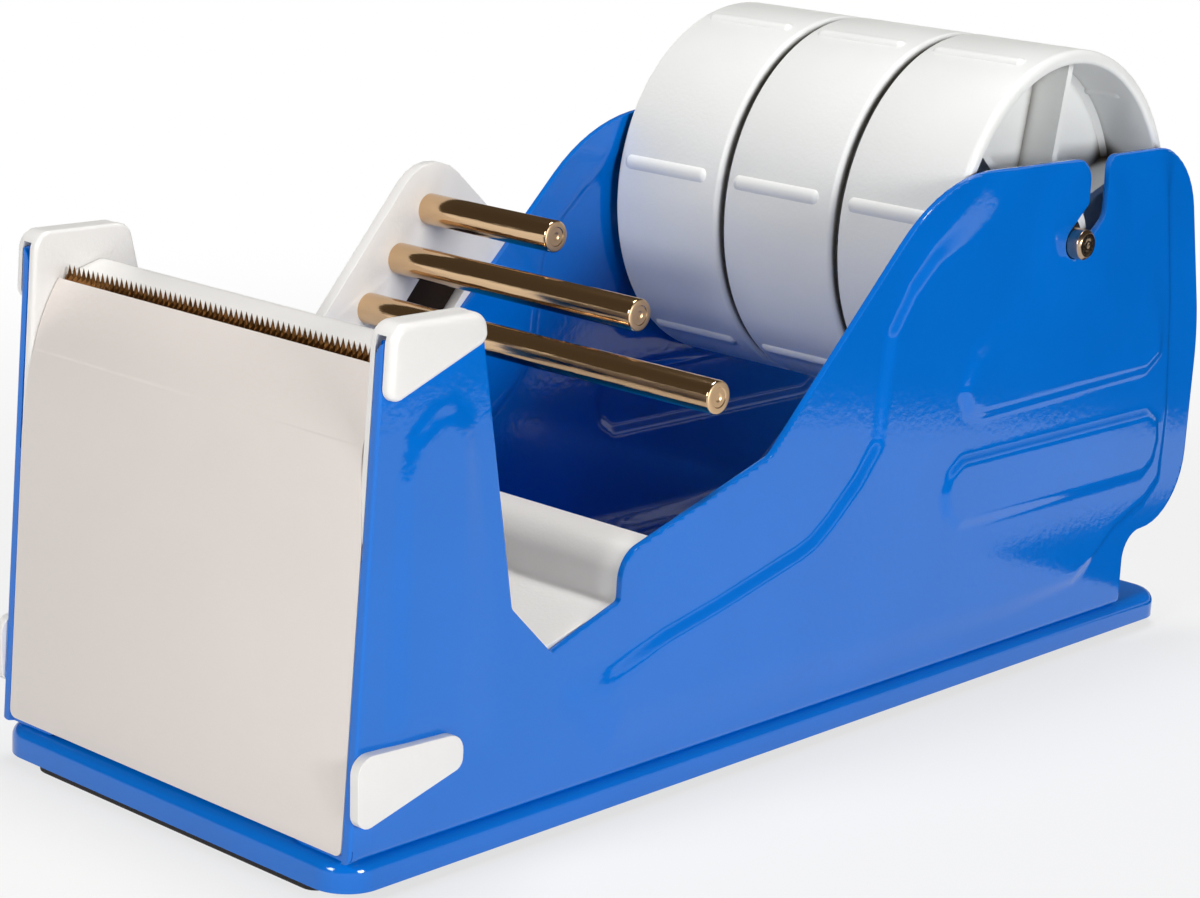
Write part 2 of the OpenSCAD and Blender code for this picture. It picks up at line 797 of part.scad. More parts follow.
module guide_rod(i) {
    p = br(9.9 + i * rod_step, 8.8);
    l = rod_ends[i] + px;
    color([0.72, 0.6, 0.44])
        translate([-px, p[0], p[1]])
            rotate([0, 90, 0])
                difference() {
                    union() {
                        cylinder(h = l - 0.6, r = rod_d / 2);
                        translate([0, 0, l - 0.6])
                            cylinder(h = 0.6, r1 = rod_d / 2, r2 = rod_d / 2 - 0.6);
                    }
                    translate([0, 0, -1])
                        cylinder(h = 10, r = 1.55);
                }
}

module short_guide_rod() {
    guide_rod(0);
}

module middle_guide_rod() {
    guide_rod(1);
}

module long_guide_rod() {
    guide_rod(2);
}

module rod_screws() {
    color(steel)
        for (i = [0:2])
            translate([-px - bracket_t, (br(9.9 + i * rod_step, 8.8))[0], (br(9.9 + i * rod_step, 8.8))[1]])
                rotate([0, 90, 0]) {
                    cylinder(h = 1.5, r1 = 3, r2 = 1.5);
                    cylinder(h = bracket_t + 8, r = 1.5);
                }
}

// AXLE AND ROLL CORES
ring_t = 0.65;
ring_x = stack_x + 0.225;
module roll_axle() {
    c = 0.6;
    color(steel)
        translate([-axle_half, axle_y, axle_z])
            rotate([0, 90, 0])
                difference() {
                    union() {
                        cylinder(h = c, r1 = axle_r - c, r2 = axle_r);
                        translate([0, 0, c])
                            cylinder(h = 2 * (axle_half - c), r = axle_r);
                        translate([0, 0, 2 * axle_half - c])
                            cylinder(h = c, r1 = axle_r, r2 = axle_r - c);
                    }
                    for (x = [axle_half - ring_x - ring_t, axle_half + ring_x])
                        translate([0, 0, x - 0.05])
                            difference() {
                                cylinder(h = ring_t + 0.1, r = axle_r + 1);
                                translate([0, 0, -1])
                                    cylinder(h = ring_t + 2.1, r = axle_r - 0.6);
                            }
                }
}

module axle_rings() {
    color([0.2, 0.2, 0.2])
        both_sides()
            difference() {
                rod_x(ring_x, ring_t, axle_r + 1.9, axle_y, axle_z);
                rod_x(ring_x - 1, ring_t + 2, axle_r - 0.55, axle_y, axle_z);
                translate([ring_x - 1, axle_y - 1.6, axle_z])
                    cube([ring_t + 2, 3.2, axle_r + 3]);
            }
}

module core_spacers() {
    color([0.85, 0.85, 0.83])
        both_sides()
            difference() {
                rod_x(core_w / 2 + 0.1, core_gap - 0.2, hub_r - 1, axle_y, axle_z);
                rod_x(core_w / 2 - 1, core_gap + 2, axle_r + run, axle_y, axle_z);
            }
}

module roll_core(x) {
    bore_r = axle_r + run;
    rim_r = core_r - core_wall;
    color([0.88, 0.89, 0.885])
        translate([x, axle_y, axle_z])
            rotate([0, 90, 0]) {
                translate([0, 0, -core_w / 2])
                    rotate_extrude($fn = 180) {
                        difference() {
                            translate([rim_r, rim_back])
                                square([core_wall, core_w - rim_back]);
                            translate([core_r - lip_r, core_w - lip_r])
                                difference() {
                                    square(2 * lip_r);
                                    circle(lip_r, $fn = 48);
                                }
                        }
                        translate([bore_r, 0])
                            square([hub_r - bore_r, core_w]);
                        translate([hub_r - 0.5, (core_w - spoke_t) / 2])
                            square([rim_r - hub_r + 1, spoke_t]);
                    }
                for (a = [0:60:300])
                    rotate(a + core_turn) {
                        rotate(30)
                            translate([hub_r - 0.4, -spoke_t / 2, spoke_back - core_w / 2])
                                cube([rim_r - hub_r + 0.8, spoke_t, core_w - 2 * spoke_back]);
                        translate([core_r + grip_out - grip_r, 0, grip_r - grip_l / 2 - lip_r / 2]) {
                            cylinder(h = grip_l - 2 * grip_r, r = grip_r, $fn = 24);
                            sphere(grip_r, $fn = 24);
                            translate([0, 0, grip_l - 2 * grip_r])
                                sphere(grip_r, $fn = 24);
                        }
                    }
            }
}

module left_roll_core() {
    roll_core(-pitch);
}

module middle_roll_core() {
    roll_core(0);
}

module right_roll_core() {
    roll_core(pitch);
}

base_pan();
ballast_plate();
base_pad();
left_side_panel();
right_side_panel();
panel_screws();
front_cover();
cover_nuts();
cutter_blade();
blade_clamp_bar();
blade_screws();
tape_platen();
upper_left_guard();
upper_right_guard();
post_studs();
post_nuts();
lower_left_guard();
lower_right_guard();
guard_push_nuts();
inner_tray();
tray_screws();
rod_bracket();
bracket_clamp_plate();
bracket_rivets();
short_guide_rod();
middle_guide_rod();
long_guide_rod();
rod_screws();
roll_axle();
axle_rings();
core_spacers();
left_roll_core();
middle_roll_core();
right_roll_core();
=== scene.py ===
import math
import bpy
import numpy as np
from mathutils import Matrix, Vector


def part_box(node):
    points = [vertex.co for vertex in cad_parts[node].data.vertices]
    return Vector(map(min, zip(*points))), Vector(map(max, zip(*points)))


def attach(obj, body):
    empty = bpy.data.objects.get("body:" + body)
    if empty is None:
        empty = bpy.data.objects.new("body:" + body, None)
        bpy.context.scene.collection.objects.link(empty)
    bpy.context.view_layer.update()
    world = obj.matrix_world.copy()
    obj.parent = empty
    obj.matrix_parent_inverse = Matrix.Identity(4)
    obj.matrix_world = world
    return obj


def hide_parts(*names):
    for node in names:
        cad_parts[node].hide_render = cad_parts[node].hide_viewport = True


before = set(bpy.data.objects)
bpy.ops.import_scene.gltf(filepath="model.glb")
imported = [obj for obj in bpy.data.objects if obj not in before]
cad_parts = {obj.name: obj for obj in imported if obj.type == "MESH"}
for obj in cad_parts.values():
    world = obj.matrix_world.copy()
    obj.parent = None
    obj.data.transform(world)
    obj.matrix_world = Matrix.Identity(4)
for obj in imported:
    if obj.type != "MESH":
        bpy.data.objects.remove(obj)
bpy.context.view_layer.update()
mm = 0.001


# RUBBER PAD
# A thin sheet of black foam rubber glued under the base, set back from its edge.
# It is cut with rounded corners and keeps the dispenser from sliding on the bench.

def finish(name, colour, rough, spread=0.05, grain=300, depth=0.02, stretch=(1, 1, 1), metal=0, fine=2500,
           gloss=0.5, faced=None):
    """A finish that varies a little over the piece, with a roughness of its own on ends faced along +X."""
    made = bpy.data.materials.new(name)
    made.use_nodes = True
    nodes, links = made.node_tree.nodes, made.node_tree.links
    shader = nodes["Principled BSDF"]
    shader.inputs["Metallic"].default_value = metal
    shader.inputs["Specular IOR Level"].default_value = gloss
    place = nodes.new("ShaderNodeTexCoord")
    turned = nodes.new("ShaderNodeMapping")
    turned.inputs["Scale"].default_value = stretch
    links.new(place.outputs["Object"], turned.inputs["Vector"])
    cloud = nodes.new("ShaderNodeTexNoise")
    cloud.inputs["Scale"].default_value = grain
    cloud.inputs["Detail"].default_value = 4
    links.new(turned.outputs["Vector"], cloud.inputs["Vector"])
    tint = nodes.new("ShaderNodeValToRGB")
    tint.color_ramp.elements[0].position = 0.3
    tint.color_ramp.elements[0].color = [c * (1 - spread) for c in colour] + [1]
    tint.color_ramp.elements[1].position = 0.7
    tint.color_ramp.elements[1].color = [min(1, c * (1 + spread)) for c in colour] + [1]
    links.new(cloud.outputs["Fac"], tint.inputs["Fac"])
    links.new(tint.outputs["Color"], shader.inputs["Base Color"])
    if faced:
        aim = nodes.new("ShaderNodeSeparateXYZ")
        links.new(place.outputs["Normal"], aim.inputs["Vector"])
        ends = nodes.new("ShaderNodeMapRange")
        ends.inputs["From Min"].default_value = 0.6
        ends.inputs["From Max"].default_value = 0.9
        ends.inputs["To Min"].default_value = rough
        ends.inputs["To Max"].default_value = faced
        links.new(aim.outputs["X"], ends.inputs["Value"])
        links.new(ends.outputs["Result"], shader.inputs["Roughness"])
    else:
        worn = nodes.new("ShaderNodeMapRange")
        worn.inputs["To Min"].default_value = rough * 0.85
        worn.inputs["To Max"].default_value = rough * 1.15
        links.new(cloud.outputs["Fac"], worn.inputs["Value"])
        links.new(worn.outputs["Result"], shader.inputs["Roughness"])
    pores = nodes.new("ShaderNodeTexNoise")
    pores.inputs["Scale"].default_value = fine
    pores.inputs["Detail"].default_value = 2
    links.new(turned.outputs["Vector"], pores.inputs["Vector"])
    bump = nodes.new("ShaderNodeBump")
    bump.inputs["Strength"].default_value = depth
    bump.inputs["Distance"].default_value = mm
    links.new(pores.outputs["Fac"], bump.inputs["Height"])
    links.new(bump.outputs["Normal"], shader.inputs["Normal"])
    return made


def srgb(r, g, b):
    """A colour as read from a picture, from 0 to 255, in the linear values that a shader takes."""
    return [((c / 255 + 0.055) / 1.055) ** 2.4 if c > 10 else c / 255 / 12.92 for c in (r, g, b)]


def block(name, low, high):
    """A block between two corners, ready to be shaped in edit mode."""
    bpy.ops.object.select_all(action="DESELECT")
    size = Vector(high) - Vector(low)
    bpy.ops.mesh.primitive_cube_add(size=1, location=(Vector(low) + Vector(high)) / 2, scale=size)
    piece = bpy.context.object
    piece.name = name
    bpy.ops.object.transform_apply(location=True, rotation=True, scale=True)
    return piece


def pick(piece, edges=None, faces=None):
    """Selects the edges or faces that a test picks out, in edit mode."""
    bpy.ops.object.mode_set(mode="EDIT")
    bpy.ops.mesh.select_mode(type="EDGE" if edges else "FACE")
    bpy.ops.mesh.select_all(action="DESELECT")
    bpy.ops.object.mode_set(mode="OBJECT")
    at = [v.co for v in piece.data.vertices]
    for edge in piece.data.edges if edges else ():
        edge.select = bool(edges(at[edge.vertices[0]], at[edge.vertices[1]]))
    for face in piece.data.polygons if faces else ():
        face.select = bool(faces(face))
    bpy.ops.object.mode_set(mode="EDIT")


def bevel(piece, edges, width, segments):
    """Rounds the edges that a test picks out."""
    pick(piece, edges=edges)
    bpy.ops.mesh.bevel(offset=width * mm, segments=segments, affect="EDGES")
    bpy.ops.object.mode_set(mode="OBJECT")


def upright(a, b):
    """Whether an edge between two points stands upright."""
    return abs(a.x - b.x) + abs(a.y - b.y) < 1e-6


def level_at(z):
    """A test for edges that lie at a height."""
    return lambda a, b: abs(a.z - z) + abs(b.z - z) < 1e-6


def activate(piece):
    """Makes a piece the only one that operators work on."""
    bpy.ops.object.select_all(action="DESELECT")
    piece.select_set(True)
    bpy.context.view_layer.objects.active = piece


def done(piece, material, body, slot, *nodes, angle=35):
    """Smooths a finished piece, paints it and hands it to the frame in place of its CAD nodes."""
    bpy.ops.object.mode_set(mode="OBJECT")
    activate(piece)
    bpy.ops.object.shade_smooth_by_angle(angle=math.radians(angle))
    piece.data.materials.clear()
    piece.data.materials.append(material)
    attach(piece, body)
    if nodes:
        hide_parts(*nodes)


low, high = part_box("base_pad")
pad = block("rubber_pad", low, high)
bevel(pad, upright, 3, 8)
bevel(pad, level_at(low.z), 0.4, 3)
rubber = finish("black_rubber", srgb(30, 24, 23), 0.8, spread=0.25, grain=900, depth=0.5, fine=3000)
done(pad, rubber, "frame", "black_rubber", "base_pad")


# BALLAST PLATE
# A heavy flat iron plate inside the base pan, so that the dispenser stays put when tape is pulled.
# It is sawn from bar, left raw and drilled for the panel screws.

def dress(material, *names):
    """Puts a finish on pieces that keep their CAD shape."""
    for name in names:
        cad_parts[name].data.materials.clear()
        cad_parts[name].data.materials.append(material)


dress(finish("raw_iron", srgb(84, 80, 78), 0.6, spread=0.2, grain=120, depth=0.15, metal=0.8, fine=900),
      "ballast_plate")


# BASE PAN
# The steel tray that everything stands on, drawn from one sheet with round corners and a round top edge.
# It is open below and powder painted blue with a wet gloss.

sheet = 1.2


def thicken(piece, thickness):
    """Gives a sheet its thickness, on the inner side."""
    wall = piece.modifiers.new("wall", "SOLIDIFY")
    wall.thickness = thickness * mm
    wall.offset = -1
    bpy.ops.object.modifier_apply(modifier="wall")


low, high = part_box("base_pan")
pan = block("base_pan_shell", low, high)
bevel(pan, upright, 7, 12)
bevel(pan, level_at(high.z), 2.4, 7)
pick(pan, faces=lambda f: f.normal.z < -0.9)
bpy.ops.mesh.delete(type="FACE")
bpy.ops.object.mode_set(mode="OBJECT")
thicken(pan, sheet)
blue = finish("gloss_blue_paint", srgb(0, 109, 207), 0.1, spread=0.03, grain=40, depth=0.03, fine=700)
done(pan, blue, "frame", "blue_paint", "base_pan")


# SIDE PANELS
# Two pressed steel sheets. Each is cut as a flat blank, pressed with soft raised fields and ribs, then folded
# at the front behind the cover and at the foot over the base. Screws through the foot hold it down.

# The front fold lies fold_back behind the front plane. Further in it steps back by joggle, so that the cover
# lies nearly flush with it.
outer_x, fold_r, front_r = 45.0, 1.6, 0.6
base_top, panel_top, post_top, flange_top = 7.3, 105.9, 92.2, 57.0
front_y, tilt = -122.3, math.radians(2.264)
lean = math.tan(tilt)
fold_back, joggle, joggle_from, joggle_to = 0.95, 0.8, 1.2, 1.7


def front_edge(z):
    """Where the leaning front plane of the posts stands at a height."""
    return front_y + (z - base_top) * lean


def fold_line(z):
    """Where the flat side of a panel ends and its front fold begins."""
    return front_edge(z) + fold_back + front_r


def sweep(centre, radius, start, end, steps):
    """Points on an arc between two angles in degrees."""
    angles = np.radians(np.linspace(start, end, steps + 1))
    return [(centre[0] + radius * math.cos(a), centre[1] + radius * math.sin(a)) for a in angles]


def rounded(corners, steps=8):
    """An outline through corners given as y, z and the rounding there."""
    line = []
    for i, (y, z, r) in enumerate(corners):
        p = Vector((y, z))
        a = (Vector(corners[i - 1][:2]) - p).normalized()
        b = (Vector(corners[(i + 1) % len(corners)][:2]) - p).normalized()
        if r == 0:
            line.append((y, z))
            continue
        half = math.acos(max(-1, min(1, a.dot(b)))) / 2
        middle = p + (a + b).normalized() * (r / math.sin(half))
        first, last = p + a * (r / math.tan(half)) - middle, p + b * (r / math.tan(half)) - middle
        turn = first.angle_signed(last)
        for k in range(steps + 1):
            arm = first.copy()
            arm.rotate(Matrix.Rotation(-turn * k / steps, 2))
            line.append(tuple(middle + arm))
    return line


seat, slot_r = (69.8, 89.1), 3.3
axle_slot = (sweep((68.7, 100.9), 5, 90, 0, 8) + [(73.7, 96.66)] + sweep(seat, slot_r, 130, 310, 16)
             + sweep((77.0, 95.14), slot_r, -50, 0, 6) + sweep((83.1, 103.1), 2.8, 180, 90, 6))
fold_l, front_l = fold_r * math.pi / 2, front_r * math.pi / 2
lip_l, flange_l, foot_l, flange_low, slit_top, slit_w = 2.0, 14.4, 12.4, 7.4, 9.8, 0.15
foot_low = base_top + fold_r - fold_l
foot_end = foot_low - foot_l
fold_foot = fold_line(base_top)
slit = fold_foot + slit_w
crest = (60, panel_top)
corners = [(fold_line(post_top) - lip_l, post_top, 3), (-96.6, post_top, 3), (-86.7, 43.3, 2),
           (-76.5, 33.6, 0.8), (-59.7, 39.3, 1), (-59.7, 47.2, 6), (-20.9, 59.0, 4), (26.62, panel_top, 41),
           (*crest, 0), (113, panel_top, 18), (122.66, 65.0, 60), (122.1, 23.2, 15), (100.8, 23.2, 6),
           (101, foot_low, 0), (91.5, foot_low, 0), (91.5, foot_end, 3), (-108.5, foot_end, 3),
           (-108.5, foot_low, 0), (slit, foot_low, 0), (slit, slit_top, 0), (fold_foot, slit_top, 0),
           (fold_foot, flange_low, 1.7), (fold_line(flange_low) - front_l - flange_l, flange_low, 3),
           (fold_line(flange_top) - front_l - flange_l, flange_top, 3),
           (fold_line(flange_top) - lip_l, flange_top, 0)]
blank = rounded(corners, 10)
top_cut = blank.index(crest)
blank = blank[:top_cut] + axle_slot + blank[top_cut + 1:]


def drawn(name, points, edges=(), faces=()):
    """A new piece from points, ready to be shaped in edit mode."""
    lines = bpy.data.meshes.new(name)
    lines.from_pydata(points, edges, faces)
    piece = bpy.data.objects.new(name, lines)
    bpy.context.collection.objects.link(piece)
    activate(piece)
    return piece


def cut_out(name, points):
    """A flat blank inside an outline."""
    return drawn(name, points, faces=[list(range(len(points)))])


def slice_at(cuts):
    """Cuts the active piece along planes given as a point and a direction."""
    bpy.ops.object.mode_set(mode="EDIT")
    for where, way in cuts:
        bpy.ops.mesh.select_all(action="SELECT")
        bpy.ops.mesh.bisect(plane_co=where, plane_no=way)
    bpy.ops.object.mode_set(mode="OBJECT")


panel = cut_out("right_pressed_panel", [(0, y, z) for y, z in blank])
grid = 0.85
front_cuts = [*np.linspace(0, front_l, 8), front_l + joggle_from, front_l + joggle_to]
cuts = [((0, y, 0), (0, 1, 0)) for y in np.arange(-118, 122.5, grid)]
cuts += [((0, fold_foot - d, base_top), (0, 1, -lean)) for d in front_cuts]
cuts += [((0, 0, z), (0, 0, 1)) for z in np.arange(10.2, 105.5, grid)]
cuts += [((0, 0, base_top + fold_r - d), (0, 0, 1)) for d in np.linspace(0, fold_l, 7)]
slice_at(cuts)
bpy.ops.object.mode_set(mode="EDIT")
bpy.ops.mesh.select_all(action="SELECT")
bpy.ops.mesh.remove_doubles(threshold=0.02)
bpy.ops.object.mode_set(mode="OBJECT")

# Raised fields and ribs: corners as y, z and the width of the slope there.
field = [(-68.5, 24, 12), (-61.5, 26.8, 6), (-48.1, 30.9, 3), (-33.8, 33.9, 2.6), (-11.7, 39.3, 2.4),
         (-7.7, 40.7, 2.4), (-2.8, 44, 2.4), (4.7, 50.3, 2.4), (10, 56.6, 2.4), (10.7, 66.1, 2.4),
         (11.8, 77.2, 2.4), (17.6, 85.5, 3), (24.1, 91.1, 4), (32.2, 95.3, 8), (42, 101, 14), (50, 114, 14),
         (103, 114, 14), (104.9, 95.5, 3), (109.4, 72.9, 2.4), (112.2, 48.2, 2.2), (111.6, 33.8, 2.2),
         (106.4, 29.5, 2.2), (95.4, 25.5, 2.2), (87.6, 19.7, 2.2), (81.8, 16.4, 3), (59.2, 15, 6),
         (0, 15, 10), (-60, 15.5, 12)]
upper_rib = [(39.3, 70, 6), (35.3, 63.3, 2.4), (38.2, 58.9, 2), (42.7, 57.6, 2), (101.3, 58.9, 2),
             (106.5, 62, 2), (105.7, 69.3, 6), (100, 80, 16), (60, 80, 16)]
lower_rib = [(37.5, 36.1, 2), (33.2, 39, 2), (31.8, 42.8, 2), (33.2, 47, 2), (37, 49.5, 2), (103.5, 49.5, 2),
             (107.6, 47, 2), (108.3, 42.8, 2), (107, 38.5, 2), (103.5, 36.1, 2)]
slot_boss = [(y, z, 7) for y, z in sweep((73, 91), 15, 0, 345, 23)]
post_arch = [(-112.5, 30, 6), (-112.5, 69, 4), (-110.5, 75.5, 4), (-106, 79, 4), (-102, 79.6, 4),
             (-99, 77, 4), (-97.8, 70, 4), (-96.6, 62, 5), (-95, 48, 12), (-95, 26, 14), (-112, 24, 14)]


def pressed(points, corners, height):
    """Height of a soft pressing at each point: full inside the corners, fading over the slope's width."""
    a = np.array(corners, float)
    b = np.roll(a, -1, 0)
    along, d = b[:, :2] - a[:, :2], points[:, None] - a[None, :, :2]
    t = np.clip((d * along).sum(2) / (along ** 2).sum(1), 0, 1)
    gap = np.linalg.norm(d - t[..., None] * along, axis=2)
    near = gap.argmin(1)
    row = np.arange(len(points))
    width = (a[:, 2] + t * (b[:, 2] - a[:, 2]))[row, near]
    y, z = points[:, :1], points[:, 1:]
    crosses = (a[:, 1] > z) != (b[:, 1] > z)
    with np.errstate(divide="ignore", invalid="ignore"):
        side = y < a[:, 0] + (z - a[:, 1]) * along[:, 0] / along[:, 1]
    inside = (crosses & side).sum(1) % 2 == 1
    s = np.clip(np.where(inside, 1, -1) * gap[row, near] / width + 0.5, 0, 1)
    return height * s * s * (3 - 2 * s)


flat = np.array([v.co for v in panel.data.vertices])
pressings = ((field, 1.0), (upper_rib, 0.7), (lower_rib, 0.7), (slot_boss, 0.3), (post_arch, 0.5))
rise = sum(pressed(flat[:, 1:], corners, height) for corners, height in pressings)
for v, lift in zip(panel.data.vertices, rise):
    y, z = v.co.y, v.co.z
    x = outer_x + lift
    ahead = fold_line(z) - y
    below = base_top + fold_r - z
    if ahead > 0:
        bend = min(ahead, front_l) / front_r
        past = max(0, ahead - front_l)
        x = outer_x - front_r + front_r * math.cos(bend) - past
        stepped = min(1, max(0, past - joggle_from) / (joggle_to - joggle_from))
        y = fold_line(z) - front_r * math.sin(bend) + joggle * stepped
    elif below > 0:
        bend = min(below, fold_l) / fold_r
        x = outer_x - fold_r + fold_r * math.cos(bend) - max(0, below - fold_l)
        z = base_top + fold_r - fold_r * math.sin(bend)
    v.co = Vector((x, y, z)) * mm


def face(piece, way):
    """Turns the faces of a bent sheet to one side, mostly along a direction."""
    bpy.ops.object.mode_set(mode="EDIT")
    bpy.ops.mesh.select_all(action="SELECT")
    bpy.ops.mesh.normals_make_consistent(inside=False)
    bpy.ops.object.mode_set(mode="OBJECT")
    if sum(f.normal.dot(way) * f.area for f in piece.data.polygons) < 0:
        piece.data.flip_normals()


def round_off(piece, width, segments, angle):
    """Rounds every edge sharper than an angle."""
    soft = piece.modifiers.new("soft", "BEVEL")
    soft.width = width * mm
    soft.segments = segments
    soft.limit_method = "ANGLE"
    soft.angle_limit = math.radians(angle)
    bpy.ops.object.modifier_apply(modifier="soft")


def mirrored(piece, name):
    """A copy of a right hand piece for the left side."""
    copy = bpy.data.objects.new(name, piece.data.copy())
    bpy.context.collection.objects.link(copy)
    copy.data.transform(Matrix.Scale(-1, 4, (1, 0, 0)))
    copy.data.flip_normals()
    return copy


face(panel, Vector((1, 0, 0)))
thicken(panel, sheet)
round_off(panel, 0.25, 2, 60)
left_panel = mirrored(panel, "left_pressed_panel")
done(panel, blue, "frame", "blue_paint", "right_side_panel", angle=50)
done(left_panel, blue, "frame", "blue_paint", "left_side_panel", angle=50)

zinc = finish("zinc_plate", srgb(170, 168, 164), 0.35, spread=0.1, grain=500, depth=0.05, metal=1)
dress(zinc, "panel_screws")


# FRONT COVER
# A pale painted steel sheet that leans back between the posts and curls over at the top, up to the blade.
# Four welded studs pass through the panels' front folds and take nuts behind.

def soften(node, name, width, segments=3, angle=40):
    """A copy of a CAD piece with its edges rounded as moulding or pressing leaves them."""
    piece = bpy.data.objects.new(name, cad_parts[node].data.copy())
    bpy.context.collection.objects.link(piece)
    activate(piece)
    bpy.ops.mesh.customdata_custom_splitnormals_clear()
    bpy.ops.object.mode_set(mode="EDIT")
    bpy.ops.mesh.select_all(action="SELECT")
    bpy.ops.mesh.remove_doubles(threshold=0.004 * mm)
    bpy.ops.mesh.dissolve_limited(angle_limit=math.radians(0.3))
    bpy.ops.object.mode_set(mode="OBJECT")
    round_off(piece, width, segments, angle)
    return piece


def join(piece, *others):
    """Makes other pieces part of one."""
    activate(piece)
    for other in others:
        other.select_set(True)
    bpy.ops.object.join()


# The sheet is cut flat, with s as the length up from its foot, and then bent over the curl. It stands behind
# the front plane by cover_set and comes forward to it at the blade.
curl_r, curl_a = 33.6, math.radians(34.4)
foot_z, curl_z, cover_t, cover_set = 8.3, 68.0, 0.75, 0.8
foot_x, neck_x, curl_back = 43.0, 41.4, 0.2
flat_l = (curl_z - foot_z) / math.cos(tilt)
cover_l = flat_l + curl_r * curl_a
curl_y = front_edge(curl_z) + curl_back + curl_r * math.cos(tilt)
curl_h = curl_z - curl_r * math.sin(tilt)
side = [(foot_x, 0, 1.5), (foot_x, 52, 24), (neck_x, 66, 24), (neck_x, cover_l, 0.5)]
sheet_line = rounded([(-x, s, r) for x, s, r in side] + side[::-1])
cover = cut_out("curled_cover", [(x, 0, s) for x, s in sheet_line])
bends = [4, 40, 49, 58, *np.linspace(flat_l, cover_l, 33)[:-1]]
slice_at([((0, 0, s), (0, 0, 1)) for s in bends])
for v in cover.data.vertices:
    x, s = v.co.x, v.co.z
    bend = tilt + max(0, s - flat_l) / curl_r
    down = min(s, flat_l) - flat_l
    behind = cover_set * (1 - (s / cover_l) ** 6)
    y = curl_y - curl_r * math.cos(bend) + down * math.sin(tilt) + behind
    z = curl_h + curl_r * math.sin(bend) + down * math.cos(tilt)
    v.co = Vector((x, y, z)) * mm
face(cover, Vector((0, -1, 0)))
thicken(cover, cover_t)
round_off(cover, 0.2, 3, 60)
stud_r, stud_l, stud_x, stud_back = 1.5, 5.2, 34.8, 1.6
stud_heights = (base_top + 14, base_top + 42.7)
studs = []
for x in (-stud_x, stud_x):
    for h in stud_heights:
        root = Vector((x, front_edge(h) + stud_back + stud_l / 2, h)) * mm
        bpy.ops.object.select_all(action="DESELECT")
        bpy.ops.mesh.primitive_cylinder_add(vertices=32, radius=stud_r * mm, depth=stud_l * mm, location=root,
                                            rotation=(-math.pi / 2 - tilt, 0, 0))
        bpy.ops.object.transform_apply(location=True, rotation=True, scale=True)
        studs.append(bpy.context.object)
join(cover, *studs)
grey = finish("pale_grey_paint", srgb(226, 218, 212), 0.3, spread=0.015, grain=30, depth=0.04, fine=900,
              gloss=0.4)
done(cover, grey, "frame", "grey_paint", "front_cover")
dress(zinc, "cover_nuts")


# PLATEN AND BLADE
# A white moulded bar holds the tape ends on its ridge. The toothed spring steel blade stands in front of it,
# held by a clamp bar with three screws.

white = finish("white_moulding", srgb(236, 234, 231), 0.32, spread=0.02, grain=60, depth=0.05, fine=1500,
               gloss=0.45)
platen = soften("tape_platen", "ridged_platen", 0.3)
done(platen, white, "frame", "white_plastic", "tape_platen")
# Five lines of points run along the blade: its front foot, the start of the ground flutes, the front of the
# teeth, the back of the teeth and its rear foot.
teeth, blade_half, blade_y, blade_t = 64, 41.1, -111.97, 0.6
blade_low, flute_z, valley_z, tip_z = 76.04, 86.4, 87.35, 89.04
valley_t, tip_t = 0.01, 0.05
rear_y = blade_y + blade_t
rows = [[], [], [], [], []]
for i, x in enumerate(np.linspace(-blade_half, blade_half, 2 * teeth + 1)):
    edge_z, edge_t = (tip_z, tip_t) if i % 2 else (valley_z, valley_t)
    line = ((blade_y, blade_low), (blade_y, flute_z), (rear_y - edge_t, edge_z), (rear_y, edge_z),
            (rear_y, blade_low))
    for row, (y, z) in zip(rows, line):
        row.append(Vector((x, y, z)) * mm)
wide = len(rows[0])
faces = []
for i in range(wide - 1):
    for r in range(5):
        a, b = r * wide + i, (r + 1) % 5 * wide + i
        if r != 1:
            faces.append((a, a + 1, b + 1, b))
        elif i % 2:
            faces += [(a, b + 1, b), (a, a + 1, b + 1)]
        else:
            faces += [(a, a + 1, b), (a + 1, b + 1, b)]
faces += [tuple(r * wide for r in range(5)), tuple(r * wide + wide - 1 for r in reversed(range(5)))]
blade = drawn("toothed_blade", sum(rows, []), faces=faces)
bpy.ops.object.mode_set(mode="EDIT")
bpy.ops.mesh.select_all(action="SELECT")
bpy.ops.mesh.normals_make_consistent(inside=False)
gilt = finish("gilt_blade_steel", srgb(146, 100, 54), 0.08, spread=0.3, grain=900, depth=0.08, metal=1,
              stretch=(1, 1, 0.2))
done(blade, gilt, "frame", "blade_steel", "cutter_blade", angle=15)
dress(zinc, "blade_clamp_bar", "blade_screws")


# GUARDS
# White moulded caps over the tops of both posts and pads low on their outsides, so no sheet edge is bare.
# The caps sit on studs with nuts, the pads on pegs with push nuts.

def prism(name, line, first_x, last_x):
    """An outline in y and z, drawn out along X."""
    piece = cut_out(name, [Vector((first_x, y, z)) * mm for y, z in line])
    bpy.ops.object.mode_set(mode="EDIT")
    bpy.ops.mesh.select_all(action="SELECT")
    bpy.ops.mesh.extrude_region_move(TRANSFORM_OT_translate={"value": ((last_x - first_x) * mm, 0, 0)})
    bpy.ops.mesh.select_all(action="SELECT")
    bpy.ops.mesh.normals_make_consistent(inside=False)
    bpy.ops.object.mode_set(mode="OBJECT")
    return piece


